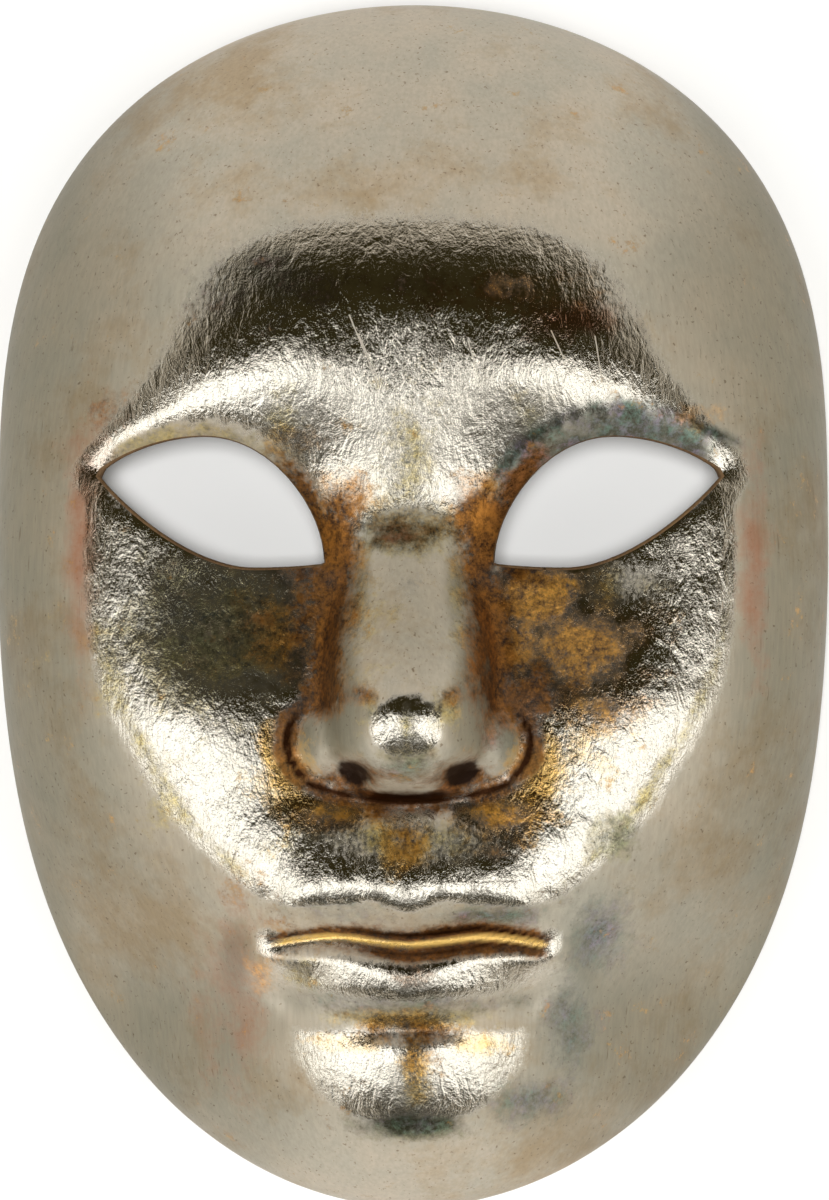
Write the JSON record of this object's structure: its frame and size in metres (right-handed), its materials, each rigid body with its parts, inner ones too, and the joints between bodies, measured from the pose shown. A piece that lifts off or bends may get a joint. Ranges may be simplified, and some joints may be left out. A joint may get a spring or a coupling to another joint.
{
  "type": "volto mask",
  "caption": "Full-face carnival mask, a thin hollow shell with cut eyes, nose, lips and chin, in worn silver leaf.",
  "frame": {"origin": "middle of the oval rim, in the plane of the rim, which is the mask's back", "axes": "+Y towards the top of the forehead, +Z out of the face through the nose, +X to the wearer's left"},
  "size_m": [0.1652, 0.24, 0.0848],
  "materials": {
    "silver_leaf": "satin"
  },
  "bodies": {
    "root": {"mask_shell": "silver_leaf"}
  },
  "joints": []
}
